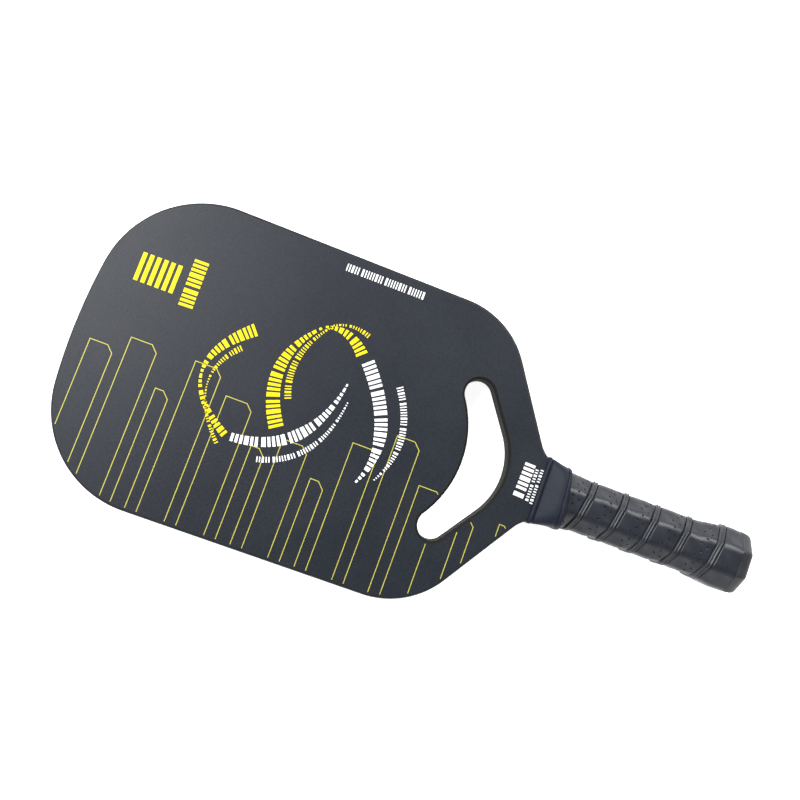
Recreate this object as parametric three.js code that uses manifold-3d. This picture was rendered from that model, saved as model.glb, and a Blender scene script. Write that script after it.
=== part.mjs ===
// Pickleball paddle, 16 mm thick, with an open throat and a wound grip.
// Millimetres. While it is built, X runs from the head's tip (0) to the butt, Y runs across the
// face and Z is the face normal, measured from the paddle's mid-plane. The exported group then
// moves the paddle so that its origin is the bottom centre of its bounding box.

import * as THREE from "three";
import { mergeVertices } from "three/addons/utils/BufferGeometryUtils.js";
import Module from "manifold-3d";

const wasm = await Module();
wasm.setup();

const radians = THREE.MathUtils.degToRad;

// Driving dimensions: overall
const LENGTH = 419;
const THICKNESS = 16;
const CLEARANCE = 0.3;

// Head outline
const HEAD_HALF_WIDTH = 94.8;
const TIP_RADIUS = 350;
const CORNER_RADIUS = 63.5;
const SIDE_TAPER = radians(1);
const SHOULDER_START = 212;
const SHOULDER_RADIUS = 52;
const THROAT_ANGLE = radians(57);
const NECK_RADIUS = 20;
const NECK_TAPER = radians(10.2);
const NECK_END = 298;
const NECK_END_HALF_WIDTH = 16.8;
const TONGUE_END = 408;
const TONGUE_HALF_WIDTH = 9.5;

// Throat opening: a crescent with round ends
const OPENING_HEAD_SIDE = 241;
const OPENING_NOSE = 267.6;
const OPENING_NOSE_RADIUS = 42;
const OPENING_END = new THREE.Vector2(237.3, 41.2);
const OPENING_END_RADIUS = 8.9;

// Layers of the blade
const SKIN = 0.6;
const FILM = 0.2;
const FILM_INSET = 0.5;
const EDGE_FOAM_WIDTH = 8;
const LINER_WIDTH = 5;
const EDGE_LIP = 1.5;
const CORE_SPLIT = 296.5;
const CELL_PITCH = 15.5;
const CELL_WALL = 1.2;

// Handle: [x, half width, half height] of the bare octagon, and of what the grip is wound on
const HANDLE_SIDES = 8;
const BARE_HANDLE = [
  [NECK_END + 2 * CLEARANCE, 15.8, 9.6],
  [301.5, 14.5, 12.15],
  [312, 13.5, 11.8],
  [318, 13.25, 11.6],
  [408.5, 13.25, 11.6],
];
const WOUND_HANDLE = [
  [302, 14.5, 12.2],
  [312, 13.5, 11.8],
  [318, 13.25, 11.6],
  [387, 13.3, 11.65],
  [389.7, 13.8, 12.15],
  [398, 15.45, 13.8],
  [405, 16.4, 14.75],
  [411.7, 16.15, 14.5],
];
const SHELL_GAP = 0.1;
const HANDLE_TAPE = [0.1, 0.35];
const GRIP = [0.45, 2.45];
const FLARE_HALF_HEIGHT = 14.75 + GRIP[1];

// Butt cap: its closed section, from the pocket's floor round to the flat end; and its staples
const CAP_PROFILE = [
  [409, 0, 0],
  [409, 13.5, 11.85],
  [390, 13.5, 11.85],
  [390, 13.8, 12.15],
  [398, 15.4, 13.75],
  [405, 16.35, 14.7],
  [412, 16.1, 14.45],
  [412, 18.5, 16.85],
  [416, 18.2, 16.55],
  [LENGTH, 16.9, 15.25],
  [LENGTH, 0, 0],
];
const STAPLE_X = 400;
const STAPLE_TOP = 13.2;
const STAPLE_CROWN = 9;
const STAPLE_WIRE = 1.2;
const STAPLE_LEG = 4.2;

// Tape that holds the grip's first turn, and the neck band that covers it:
// [x, half width, half height, squareness] along the outside
const FINISHING_TAPE = 0.3;
const TAPED_GRIP = [
  [300.9, 17.15, 14.85],
  [304.8, 16.85, 14.72],
];
const TAPE_ROOM = [
  [300.6, 17.65, 15.4],
  [310, 17.3, 15.2],
];
const BAND_SIDES = 32;
const BAND_FIT = 0.15;
const BAND_OUTSIDE = [
  [288.8, 20.3, 9.6, 9],
  [290, 20.9, 10.3, 9],
  [292.4, 20.1, 10.3, 9],
  [296, 19.2, 12.6, 6],
  [300, 18.7, 15.5, 4],
  [302.6, 19, 16.9, 3.4],
  [304.3, 18.9, 16.9, 3.4],
  [305.2, 18.3, 16.3, 3.4],
];

// Outline geometry

function normalAt(angle) {
  return new THREE.Vector2(Math.sin(angle), Math.cos(angle));
}

// A stretch of outline. Its centre, radius and end normals stay the same when it is offset;
// a hollow stretch has a negative radius.
function arc(centre, radius, startAngle, endAngle, steps) {
  const points = [];
  for (let step = 0; step <= steps; step += 1) {
    const angle = startAngle + ((endAngle - startAngle) * step) / steps;
    points.push(centre.clone().addScaledVector(normalAt(angle), radius));
  }
  return points;
}

// The centre that lies a radius outside two lines, each given by a point and its normal's angle.
function centreOutside(pointA, angleA, pointB, angleB, radius) {
  const a = normalAt(angleA);
  const b = normalAt(angleB);
  const reachA = a.dot(pointA) + radius;
  const reachB = b.dot(pointB) + radius;
  const scale = a.x * b.y - a.y * b.x;
  return new THREE.Vector2((reachA * b.y - reachB * a.y) / scale, (a.x * reachB - b.x * reachA) / scale);
}

const tipCentre = new THREE.Vector2(TIP_RADIUS, 0);
const cornerRise = HEAD_HALF_WIDTH - CORNER_RADIUS * Math.cos(SIDE_TAPER);
const TIP_END_ANGLE = Math.asin(cornerRise / (TIP_RADIUS - CORNER_RADIUS)) - Math.PI / 2;
const cornerCentre = tipCentre.clone().addScaledVector(normalAt(TIP_END_ANGLE), TIP_RADIUS - CORNER_RADIUS);
const sideStart = cornerCentre.clone().addScaledVector(normalAt(SIDE_TAPER), CORNER_RADIUS);
const sideEnd = new THREE.Vector2(
  SHOULDER_START,
  sideStart.y - (SHOULDER_START - sideStart.x) * Math.tan(SIDE_TAPER),
);
const shoulderCentre = sideEnd.clone().addScaledVector(normalAt(SIDE_TAPER), -SHOULDER_RADIUS);
const shoulderEnd = shoulderCentre.clone().addScaledVector(normalAt(THROAT_ANGLE), SHOULDER_RADIUS);
const neckEnd = new THREE.Vector2(NECK_END, NECK_END_HALF_WIDTH);
const neckCentre = centreOutside(shoulderEnd, THROAT_ANGLE, neckEnd, NECK_TAPER, NECK_RADIUS);

function neckHalfWidth(x, inset) {
  return NECK_END_HALF_WIDTH + (NECK_END - x) * Math.tan(NECK_TAPER) - inset / Math.cos(NECK_TAPER);
}

// One side of the head, from the middle of the tip to the neck, moved inwards by inset.
function headSide(inset) {
  return [
    ...arc(tipCentre, TIP_RADIUS - inset, -Math.PI / 2, TIP_END_ANGLE, 3),
    ...arc(cornerCentre, CORNER_RADIUS - inset, TIP_END_ANGLE, SIDE_TAPER, 10).slice(1),
    ...arc(shoulderCentre, SHOULDER_RADIUS - inset, SIDE_TAPER, THROAT_ANGLE, 6),
    ...arc(neckCentre, -(NECK_RADIUS + inset), THROAT_ANGLE, NECK_TAPER, 4),
  ];
}

function mirrored(side) {
  return side
    .filter((point) => Math.abs(point.y) > 1e-9)
    .map((point) => new THREE.Vector2(point.x, -point.y))
    .reverse();
}

// One side of the head, as far as the split between honeycomb and handle core.
function headSideToSplit(inset) {
  const endX = CORE_SPLIT - CLEARANCE;
  return [...headSide(inset), new THREE.Vector2(endX, neckHalfWidth(endX, inset))];
}

function headOutline(inset) {
  const side = headSideToSplit(inset);
  return [...side, ...mirrored(side)];
}

// A strip of the given width along the head's edge, open at the neck.
function horseshoe(width) {
  const outer = headSideToSplit(0);
  const inner = headSideToSplit(width);
  return [...outer.toReversed(), ...mirrored(outer).toReversed(), ...mirrored(inner), ...inner];
}

// The neck and tongue, from a given x to the tongue's end.
function tongueSide(inset) {
  const stepX = NECK_END - inset;
  const halfWidth = TONGUE_HALF_WIDTH - inset;
  return [
    new THREE.Vector2(stepX, neckHalfWidth(stepX, inset)),
    new THREE.Vector2(stepX, halfWidth),
    new THREE.Vector2(TONGUE_END - inset, halfWidth),
  ];
}

function bladeOutline(inset) {
  const side = [...headSide(inset), ...tongueSide(inset)];
  return [...side, ...mirrored(side)];
}

function handleCoreOutline() {
  const side = [new THREE.Vector2(CORE_SPLIT, neckHalfWidth(CORE_SPLIT, 0)), ...tongueSide(0)];
  return [...side, ...mirrored(side)];
}

// The throat opening, grown outwards by offset.
function openingOutline(offset) {
  const noseCentre = new THREE.Vector2(OPENING_NOSE - OPENING_NOSE_RADIUS, 0);
  const toEnd = OPENING_END.clone().sub(noseCentre);
  const lineTurn = Math.acos((OPENING_NOSE_RADIUS - OPENING_END_RADIUS) / toEnd.length());
  const lineAngle = Math.PI / 2 - (toEnd.angle() - lineTurn);
  const lean = OPENING_END.x - OPENING_HEAD_SIDE;
  const bulgeRadius =
    (lean * lean + OPENING_END.y ** 2 - OPENING_END_RADIUS ** 2) / (2 * (OPENING_END_RADIUS - lean));
  const bulgeCentre = new THREE.Vector2(OPENING_HEAD_SIDE - bulgeRadius, 0);
  const bulgeAngle = Math.PI / 2 - OPENING_END.clone().sub(bulgeCentre).angle();
  const endAngle = bulgeAngle - Math.PI;
  const side = [
    ...arc(noseCentre, OPENING_NOSE_RADIUS + offset, Math.PI / 2, lineAngle, 4),
    ...arc(OPENING_END, OPENING_END_RADIUS + offset, lineAngle, endAngle, 9),
    ...arc(bulgeCentre, bulgeRadius - offset, bulgeAngle, Math.PI / 2, 5).slice(1),
  ];
  return [...side, ...mirrored(side)];
}

function insidePolygon(point, polygon) {
  let inside = false;
  polygon.forEach((a, index) => {
    const b = polygon[(index + 1) % polygon.length];
    const straddles = a.y > point.y !== b.y > point.y;
    if (straddles && point.x < a.x + ((b.x - a.x) * (point.y - a.y)) / (b.y - a.y)) {
      inside = !inside;
    }
  });
  return inside;
}

function hexagon(centreX, centreY, radius) {
  return Array.from({ length: 6 }, (_, corner) => {
    const angle = (corner * Math.PI) / 3;
    return new THREE.Vector2(centreX + radius * Math.cos(angle), centreY + radius * Math.sin(angle));
  });
}

// Every whole honeycomb cell that fits between the edge foam and the throat liner.
function honeycombCells() {
  const margin = CLEARANCE + 1.5;
  const border = headOutline(EDGE_FOAM_WIDTH + margin);
  const opening = openingOutline(LINER_WIDTH + margin);
  const radius = (CELL_PITCH - CELL_WALL) / Math.sqrt(3);
  const columnStep = (CELL_PITCH * Math.sqrt(3)) / 2;
  const columns = Math.floor(CORE_SPLIT / columnStep);
  const rows = Math.ceil(HEAD_HALF_WIDTH / CELL_PITCH);
  const cells = [];
  for (let column = 1; column <= columns; column += 1) {
    for (let row = -rows; row <= rows; row += 1) {
      const centreY = (row + (column % 2) / 2) * CELL_PITCH;
      const cell = hexagon(column * columnStep, centreY, radius);
      if (cell.every((point) => insidePolygon(point, border) && !insidePolygon(point, opening))) {
        cells.push(cell);
      }
    }
  }
  return cells;
}

// Solids

function plate(outline, holes, bottom, top) {
  const shape = new THREE.Shape(outline);
  shape.holes = holes.map((hole) => new THREE.Path(hole));
  const geometry = new THREE.ExtrudeGeometry(shape, { depth: top - bottom, bevelEnabled: false });
  geometry.translate(0, 0, bottom);
  return geometry;
}

// A body turned about the handle's axis and then flattened: each profile point is
// [x, half width, half height, squareness], where squareness 2 keeps the polygon it is turned as.
function turned(profile, sides) {
  const points = profile.map(([x, halfWidth]) => new THREE.Vector2(halfWidth / Math.cos(Math.PI / sides), x));
  const geometry = new THREE.LatheGeometry(points, sides, Math.PI / sides);
  const position = geometry.getAttribute("position");
  for (let index = 0; index < position.count; index += 1) {
    const [x, halfWidth, halfHeight, squareness = 2] = profile[index % profile.length];
    const across = position.getX(index);
    const up = position.getZ(index);
    const radius = Math.hypot(across, up) || 1;
    const spread = Math.abs(across / radius) ** squareness + Math.abs(up / radius) ** squareness;
    const swell = squareness === 2 ? 1 : spread ** (-1 / squareness);
    const flatten = halfWidth > 0 ? halfHeight / halfWidth : 1;
    position.setXYZ(index, x, -across * swell, up * swell * flatten);
  }
  return geometry;
}

// A closed sleeve that follows the stations between two heights above them.
function sleeve(stations, inner, outer) {
  const grown = (rise) => stations.map(([x, halfWidth, halfHeight]) => [x, halfWidth + rise, halfHeight + rise]);
  const outside = grown(outer);
  const inside = grown(inner).reverse();
  return turned([...outside, ...inside, outside[0]], HANDLE_SIDES);
}

// A solid body through the stations, closed on the axis at both ends.
function solidAlong(stations, rise, sides = HANDLE_SIDES) {
  const grown = stations.map(([x, halfWidth, halfHeight, squareness]) => [
    x,
    halfWidth + rise,
    halfHeight + rise,
    squareness,
  ]);
  const [startX] = stations[0];
  const [endX] = stations[stations.length - 1];
  return turned([[startX, 0, 0], ...grown, [endX, 0, 0]], sides);
}

function box(lowX, highX, halfY, lowZ, highZ) {
  const geometry = new THREE.BoxGeometry(highX - lowX, 2 * halfY, highZ - lowZ);
  geometry.translate((lowX + highX) / 2, 0, (lowZ + highZ) / 2);
  return geometry;
}

function toSolid(geometry) {
  const bare = geometry.clone();
  bare.deleteAttribute("normal");
  bare.deleteAttribute("uv");
  const merged = mergeVertices(bare, 1e-5);
  const mesh = new wasm.Mesh({
    numProp: 3,
    vertProperties: Float32Array.from(merged.getAttribute("position").array),
    triVerts: Uint32Array.from(merged.getIndex().array),
  });
  return new wasm.Manifold(mesh);
}

function toGeometry(solid) {
  const mesh = solid.getMesh();
  const geometry = new THREE.BufferGeometry();
  geometry.setAttribute("position", new THREE.BufferAttribute(mesh.vertProperties, 3));
  geometry.setIndex(new THREE.BufferAttribute(mesh.triVerts, 1));
  geometry.computeVertexNormals();
  return geometry;
}

// Materials

function finish(color, roughness, metalness = 0) {
  return new THREE.MeshStandardMaterial({ color, roughness, metalness });
}

const faceFinish = finish(0x3b4048, 0.62);
const edgeFinish = finish(0x1b1c1f, 0.5);
const filmFinish = finish(0xb9a36a, 0.6);
const coreFinish = finish(0xd9dcd8, 0.55);
const foamFinish = finish(0x8c8f86, 0.85);
const tapeFinish = finish(0xd8d2c2, 0.8);
const gripFinish = finish(0x2c3036, 0.55);
const bandFinish = finish(0x2f343d, 0.45);
const capFinish = finish(0x26292e, 0.5);
const stapleFinish = finish(0xb4b6b8, 0.35, 1);

const paddle = new THREE.Group();

function add(name, geometry, material) {
  const mesh = new THREE.Mesh(geometry, material);
  mesh.name = name;
  paddle.add(mesh);
}

// Blade: two skins, two adhesive films and the parts between them

const FACE = THICKNESS / 2;
const FILM_TOP = FACE - SKIN;
const CORE_TOP = FILM_TOP - FILM;

// The skins and films lie inside the lips of the edge foam and the throat liner.
function addFaceLayers() {
  const skinInset = EDGE_LIP + CLEARANCE;
  const filmInset = EDGE_LIP + FILM_INSET;
  const skin = plate(bladeOutline(skinInset), [openingOutline(skinInset)], FILM_TOP, FACE);
  const film = plate(bladeOutline(filmInset), [openingOutline(filmInset)], CORE_TOP, FILM_TOP);
  const drop = FACE + FILM_TOP;
  const filmDrop = CORE_TOP + FILM_TOP;
  add("front_face_sheet", skin, faceFinish);
  add("back_face_sheet", skin.clone().translate(0, 0, -drop), faceFinish);
  add("front_adhesive_film", film, filmFinish);
  add("back_adhesive_film", film.clone().translate(0, 0, -filmDrop), filmFinish);
}

// A plate as high as the core, joined to a lip along its edge that comes up flush with both faces.
function lipped(plateOutline, lipOutline, holes) {
  const body = toSolid(plate(plateOutline, holes, -CORE_TOP, CORE_TOP));
  const lip = toSolid(plate(lipOutline, holes, -FACE, FACE));
  return toGeometry(body.add(lip));
}

function addCoreLayer() {
  add("edge_foam", lipped(horseshoe(EDGE_FOAM_WIDTH), horseshoe(EDGE_LIP), []), edgeFinish);

  const liner = lipped(openingOutline(LINER_WIDTH), openingOutline(EDGE_LIP), [openingOutline(0)]);
  add("throat_liner", liner, edgeFinish);

  const coreBorder = headOutline(EDGE_FOAM_WIDTH + CLEARANCE);
  const coreOpening = openingOutline(LINER_WIDTH + CLEARANCE);
  const cells = honeycombCells();
  add("honeycomb_core", plate(coreBorder, [coreOpening, ...cells], -CORE_TOP, CORE_TOP), coreFinish);
  add("handle_core", plate(handleCoreOutline(), [], -CORE_TOP, CORE_TOP), foamFinish);
}

// Handle: two shells over the tongue, butt cap, staples, tape, grip and neck band

function stapleOutline(growth) {
  const half = STAPLE_CROWN / 2 + growth;
  const innerHalf = STAPLE_CROWN / 2 - STAPLE_WIRE - growth;
  const top = STAPLE_TOP + growth;
  const crownUnder = STAPLE_TOP - STAPLE_WIRE - growth;
  const foot = STAPLE_TOP - STAPLE_LEG - growth;
  return [
    [-half, foot],
    [-innerHalf, foot],
    [-innerHalf, crownUnder],
    [innerHalf, crownUnder],
    [innerHalf, foot],
    [half, foot],
    [half, top],
    [-half, top],
  ].map(([y, z]) => new THREE.Vector2(y, z));
}

// A staple with its crown across the handle and its legs pointing inwards.
function staple(growth) {
  const width = STAPLE_WIRE + 2 * growth;
  const geometry = plate(stapleOutline(growth), [], -width / 2, width / 2);
  geometry.rotateX(Math.PI / 2);
  geometry.rotateZ(Math.PI / 2);
  geometry.translate(STAPLE_X, 0, 0);
  return geometry;
}

// The staple's own shape, open upwards above its crown.
function stapleRoom() {
  const halfWire = STAPLE_WIRE / 2 + CLEARANCE;
  const halfCrown = STAPLE_CROWN / 2 + CLEARANCE;
  const above = box(STAPLE_X - halfWire, STAPLE_X + halfWire, halfCrown, STAPLE_TOP, STAPLE_TOP + STAPLE_LEG);
  return toSolid(staple(CLEARANCE)).add(toSolid(above));
}

function addHandle() {
  const frontStapleRoom = stapleRoom();
  const backStapleRoom = frontStapleRoom.rotate([180, 0, 0]);

  const tongueRoomEnd = LENGTH;
  const tongueRoomHeight = FACE + SHELL_GAP;
  const tongueRoomHalfWidth = TONGUE_HALF_WIDTH + CLEARANCE;
  const tongueRoom = box(NECK_END, tongueRoomEnd, tongueRoomHalfWidth, -tongueRoomHeight, tongueRoomHeight);
  const octagon = toSolid(solidAlong(BARE_HANDLE, 0)).subtract(toSolid(tongueRoom));
  const frontHalf = toSolid(box(0, 2 * LENGTH, LENGTH, SHELL_GAP, LENGTH));
  const backHalf = frontHalf.rotate([180, 0, 0]);
  add("handle_shell_front", toGeometry(octagon.intersect(frontHalf).subtract(frontStapleRoom)), foamFinish);
  add("handle_shell_back", toGeometry(octagon.intersect(backHalf).subtract(backStapleRoom)), foamFinish);

  const cap = toSolid(turned(CAP_PROFILE, HANDLE_SIDES));
  add("butt_cap", toGeometry(cap.subtract(frontStapleRoom).subtract(backStapleRoom)), capFinish);
  const frontStaple = staple(0);
  add("cap_staple_front", frontStaple, stapleFinish);
  add("cap_staple_back", frontStaple.clone().rotateX(Math.PI), stapleFinish);

  add("handle_tape", sleeve(WOUND_HANDLE, ...HANDLE_TAPE), tapeFinish);
  add("grip_tape", sleeve(WOUND_HANDLE, ...GRIP), gripFinish);

  add("finishing_tape", sleeve(TAPED_GRIP, 0, FINISHING_TAPE), tapeFinish);

  const bladeHeight = FACE + BAND_FIT;
  const band = toSolid(solidAlong(BAND_OUTSIDE, 0, BAND_SIDES))
    .subtract(toSolid(plate(bladeOutline(-BAND_FIT), [], -bladeHeight, bladeHeight)))
    .subtract(toSolid(solidAlong(BARE_HANDLE, CLEARANCE)))
    .subtract(toSolid(solidAlong(TAPE_ROOM, 0)));
  add("neck_band", toGeometry(band), bandFinish);
}

addFaceLayers();
addCoreLayer();
addHandle();

paddle.position.set(-LENGTH / 2, 0, FLARE_HALF_HEIGHT);

export default paddle;
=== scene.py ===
import math

import bpy
import numpy as np
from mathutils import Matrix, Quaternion, Vector, geometry


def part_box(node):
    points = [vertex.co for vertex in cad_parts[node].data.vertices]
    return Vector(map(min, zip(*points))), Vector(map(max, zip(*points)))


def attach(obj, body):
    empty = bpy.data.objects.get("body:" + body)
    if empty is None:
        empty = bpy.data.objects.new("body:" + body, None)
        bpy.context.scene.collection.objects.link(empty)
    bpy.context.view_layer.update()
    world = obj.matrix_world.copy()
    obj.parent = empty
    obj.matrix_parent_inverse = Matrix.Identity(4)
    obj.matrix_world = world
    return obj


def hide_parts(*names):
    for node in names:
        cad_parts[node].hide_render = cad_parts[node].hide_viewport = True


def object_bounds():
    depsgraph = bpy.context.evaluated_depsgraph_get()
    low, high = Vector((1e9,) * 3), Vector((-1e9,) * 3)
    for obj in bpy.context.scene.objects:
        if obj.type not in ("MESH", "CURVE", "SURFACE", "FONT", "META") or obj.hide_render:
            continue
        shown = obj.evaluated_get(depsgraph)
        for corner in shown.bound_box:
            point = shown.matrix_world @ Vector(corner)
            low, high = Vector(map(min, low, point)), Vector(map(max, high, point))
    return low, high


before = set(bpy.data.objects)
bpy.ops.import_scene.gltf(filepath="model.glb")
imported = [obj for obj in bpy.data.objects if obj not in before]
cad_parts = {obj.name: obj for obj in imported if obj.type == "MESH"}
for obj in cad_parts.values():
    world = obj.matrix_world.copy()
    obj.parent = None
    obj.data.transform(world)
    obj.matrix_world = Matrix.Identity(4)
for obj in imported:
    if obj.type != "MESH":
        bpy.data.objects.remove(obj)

# The paddle is drawn in millimetres: x from the head's tip to the butt, y across the face, and z
# from the mid-plane. place() turns that into the frame's metres.
MM = 0.001
cad_box = [list(corner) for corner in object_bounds()]
rim_low, rim_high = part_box("edge_foam")
TIP_X = rim_low[0]
MID_Z = (rim_low[2] + rim_high[2]) / 2
LENGTH = (cad_box[1][0] - cad_box[0][0]) / MM
FACE = (rim_high[2] - MID_Z) / MM
HEAD_HALF_WIDTH = rim_high[1] / MM


def place(points):
    """Millimetre points of the paddle, in the frame's metres."""
    return np.asarray(points, float) * MM + (TIP_X, 0.0, MID_Z)


# Head outline
TIP_RADIUS = 350.0
CORNER_RADIUS = 63.5
SIDE_TAPER = math.radians(1.0)
SHOULDER_START = 212.0
SHOULDER_RADIUS = 52.0
THROAT_ANGLE = math.radians(57.0)
NECK_RADIUS = 20.0
NECK_TAPER = math.radians(10.2)
NECK_END = 298.0
NECK_HALF_WIDTH = 16.8
RIM_END = (rim_high[0] - TIP_X) / MM
TONGUE_END = 408.0
TONGUE_HALF_WIDTH = 9.5

# Throat opening: a crescent with round ends
OPENING_HEAD_SIDE = 241.0
OPENING_NOSE = 267.6
OPENING_NOSE_RADIUS = 42.0
OPENING_END = np.array((237.3, 41.2))
OPENING_END_RADIUS = 8.9

# Layers at the edge, and the heights of the wall's rows between the rounded edges
SKIN = 0.6
EDGE_ROUNDING = 1.5
ROUNDING_STEPS = 6
WALL_ROWS = (4.2, 1.5, -1.5, -4.2)
FOAM_DEPTH = 8.0
LINER_DEPTH = 5.0

# Wound grip: [x, half width, half height] of its surface, and its tape
FLATS = 8
GRIP_START = 302.0
GRIP_END = 411.8
GRIP_STATIONS = [
    (302.0, 16.95, 14.65),
    (312.0, 15.95, 14.25),
    (318.0, 15.70, 14.05),
    (387.0, 15.75, 14.10),
    (392.0, 16.55, 14.90),
    (398.0, 17.90, 16.20),
    (405.0, 18.75, 17.10),
    (411.8, 18.60, 16.95),
]
GRIP_WAIST = GRIP_STATIONS[2][1]
GRIP_THICKNESS = 2.0
GRIP_CORNER = 6.0
END_CLEARANCE = 0.02
EASING = (-2.0, -1.0, 0.0, 1.0, 2.0)
TAPE_PITCH = 20.0
TAPE_TURNS = range(-1, 7)
TAPE_CROWN = 0.32
RIB_AT = 321.6
LAST_RIB = 402.0
LAST_RIB_END = 405.5

# Ripples left by the hand that wound it: [height, length of a ripple / 2 pi, ripples to a turn]
RIPPLES = ((0.09, 3.4, 5), (0.06, 2.1, -9))

# Rows and columns of the grip's mesh between the ribs and the perforations
PLAIN_ROWS = (4.0, 5.2, 6.4, 7.6, 8.8, 11.45, 13.75, 16.0)
PLAIN_COLUMNS = (1.2, 1.9, 4.3, 5.0)

# Perforations: rows at these distances past a rib, each row shifted along the tape from the last
HOLES_PER_TURN = 13
HOLE_ROWS = (10.3, 12.6, 14.9)
HOLE_ROW_STEP = 3.1
HOLE_DEPTH = 0.7
HOLE_RADIUS = 0.55
HOLE_WALL = 0.16
AROUND_HOLE = np.array((-0.55, -0.3, 0.0, 0.3, 0.55))
# Grip faces whose hollows are deeper than this on average get a near-black painted shade
PAINTED_SHADE_DEPTH = 0.2

# The rib's section: [distance along the handle, height above the tape]
RIB_SECTION = [
    (-2.9, 0.05),
    (-2.2, -0.05),
    (-1.95, -0.75),
    (-1.7, -0.10),
    (-1.4, 0.58),
    (-1.0, 0.90),
    (-0.5, 0.82),
    (-0.15, 0.36),
    (0.15, 0.36),
    (0.5, 0.78),
    (0.95, 0.86),
    (1.35, 0.55),
    (1.65, -0.10),
    (1.9, -0.65),
    (2.2, -0.05),
    (2.9, 0.05),
]

# Neck band: [x, half width, half height, squareness] along its outside
BAND_SLANT = 2.3
BAND_THICKNESS = 1.0
BAND_COLUMNS = 144
BAND_STATIONS = [
    (288.8, 19.8, 9.4, 9.0),
    (289.0, 20.4, 9.9, 9.0),
    (289.7, 20.8, 10.3, 9.0),
    (290.6, 20.7, 10.3, 9.0),
    (291.2, 20.2, 9.8, 9.0),
    (291.5, 20.0, 9.6, 9.0),
    (291.9, 20.2, 10.1, 8.6),
    (293.5, 19.9, 11.2, 7.5),
    (296.0, 19.3, 12.9, 6.2),
    (299.0, 18.8, 14.9, 4.8),
    (301.5, 18.6, 16.1, 4.0),
    (302.6, 18.5, 16.3, 3.8),
    (302.9, 18.1, 15.9, 3.7),
    (303.2, 18.5, 16.4, 3.7),
    (304.2, 18.8, 16.8, 3.6),
    (305.2, 18.5, 16.6, 3.5),
    (305.7, 17.9, 16.0, 3.5),
    (305.9, 17.2, 15.3, 3.5),
]

# Butt cap: [x, half width, half height] from its pocket, over the flange, to the recess in its end
CAP_CORNER = 1.6
CAP_COLUMNS = 128
CAP_STATIONS = [
    (409.0, 13.5, 11.85),
    (390.0, 13.5, 11.85),
    (390.0, 13.8, 12.15),
    (398.0, 15.4, 13.75),
    (405.0, 16.35, 14.7),
    (411.95, 16.1, 14.45),
    (411.9, 18.35, 16.7),
    (412.05, 18.5, 16.85),
    (414.0, 18.4, 16.75),
    (416.0, 18.05, 16.4),
    (417.7, 17.35, 15.7),
    (418.6, 16.5, 14.85),
    (LENGTH, 15.2, 13.55),
    (LENGTH, 12.4, 10.9),
    (LENGTH - 0.6, 11.9, 10.4),
]

# Camera: where it aims, the direction from there to the camera, and its turn about that line
AIM = Vector((-0.0154, 0.0212, (FACE * MM) + MID_Z))
TOWARDS_CAMERA = Vector((-0.01304, -0.09057, 0.99580))
CAMERA_DISTANCE = 0.4717
CAMERA_ROLL = math.radians(28.52)
LENS = 36.0


# ---------------------------------------------------------------- outlines


def direction(angle):
    """The unit vectors that lie at these angles from the y axis, turning towards x."""
    return np.stack([np.sin(angle), np.cos(angle)], axis=-1)


def arc(centre, radius, start, end, steps):
    """Points along an arc between two angles."""
    return centre + radius * direction(np.linspace(start, end, steps + 1))


def meeting_point(point_a, angle_a, point_b, angle_b, radius):
    """The centre that lies a radius outside two lines, each given by a point and its normal."""
    normals = np.stack([direction(angle_a), direction(angle_b)])
    reach = np.array([normals[0] @ point_a, normals[1] @ point_b]) + radius
    return np.linalg.solve(normals, reach)


tip_centre = np.array((TIP_RADIUS, 0.0))
corner_rise = HEAD_HALF_WIDTH - CORNER_RADIUS * math.cos(SIDE_TAPER)
TIP_END_ANGLE = math.asin(corner_rise / (TIP_RADIUS - CORNER_RADIUS)) - math.pi / 2
corner_centre = tip_centre + (TIP_RADIUS - CORNER_RADIUS) * direction(TIP_END_ANGLE)
side_start = corner_centre + CORNER_RADIUS * direction(SIDE_TAPER)
side_drop = (SHOULDER_START - side_start[0]) * math.tan(SIDE_TAPER)
side_end = np.array((SHOULDER_START, side_start[1] - side_drop))
shoulder_centre = side_end - SHOULDER_RADIUS * direction(SIDE_TAPER)
shoulder_end = shoulder_centre + SHOULDER_RADIUS * direction(THROAT_ANGLE)
neck_end = np.array((NECK_END, NECK_HALF_WIDTH))
neck_centre = meeting_point(shoulder_end, THROAT_ANGLE, neck_end, NECK_TAPER, NECK_RADIUS)


def neck_half_width(x, inset):
    """Half the width of the tapering neck at x, moved inwards by inset."""
    return NECK_HALF_WIDTH + (NECK_END - x) * math.tan(NECK_TAPER) - inset / math.cos(NECK_TAPER)


def head_side(inset):
    """One side of the head, from the middle of the tip to the neck, moved inwards by inset."""
    return np.concatenate([
        arc(tip_centre, TIP_RADIUS - inset, -math.pi / 2, TIP_END_ANGLE, 8),
        arc(corner_centre, CORNER_RADIUS - inset, TIP_END_ANGLE, SIDE_TAPER, 32)[1:],
        arc(shoulder_centre, SHOULDER_RADIUS - inset, SIDE_TAPER, THROAT_ANGLE, 20),
        arc(neck_centre, -(NECK_RADIUS + inset), THROAT_ANGLE, NECK_TAPER, 12),
    ])


def mirrored(side):
    """The other side, in the opposite order and without the points on the centre line."""
    away = side[np.abs(side[:, 1]) > 1e-6]
    return (away * (1, -1))[::-1]


def blade_outline(inset):
    """The whole skin: the head, the neck and the tongue inside the handle."""
    step_x = NECK_END - inset
    side = np.concatenate([
        head_side(inset),
        [(step_x, neck_half_width(step_x, inset))],
        [(step_x, TONGUE_HALF_WIDTH - inset), (TONGUE_END - inset, TONGUE_HALF_WIDTH - inset)],
    ])
    return np.concatenate([side, mirrored(side)])


def rim_path(inset):
    """Along the head's edge from one side of the neck round the tip to the other."""
    side = np.concatenate([head_side(inset), [(RIM_END, neck_half_width(RIM_END, inset))]])
    return np.concatenate([side[::-1], mirrored(side)[::-1]])


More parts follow.
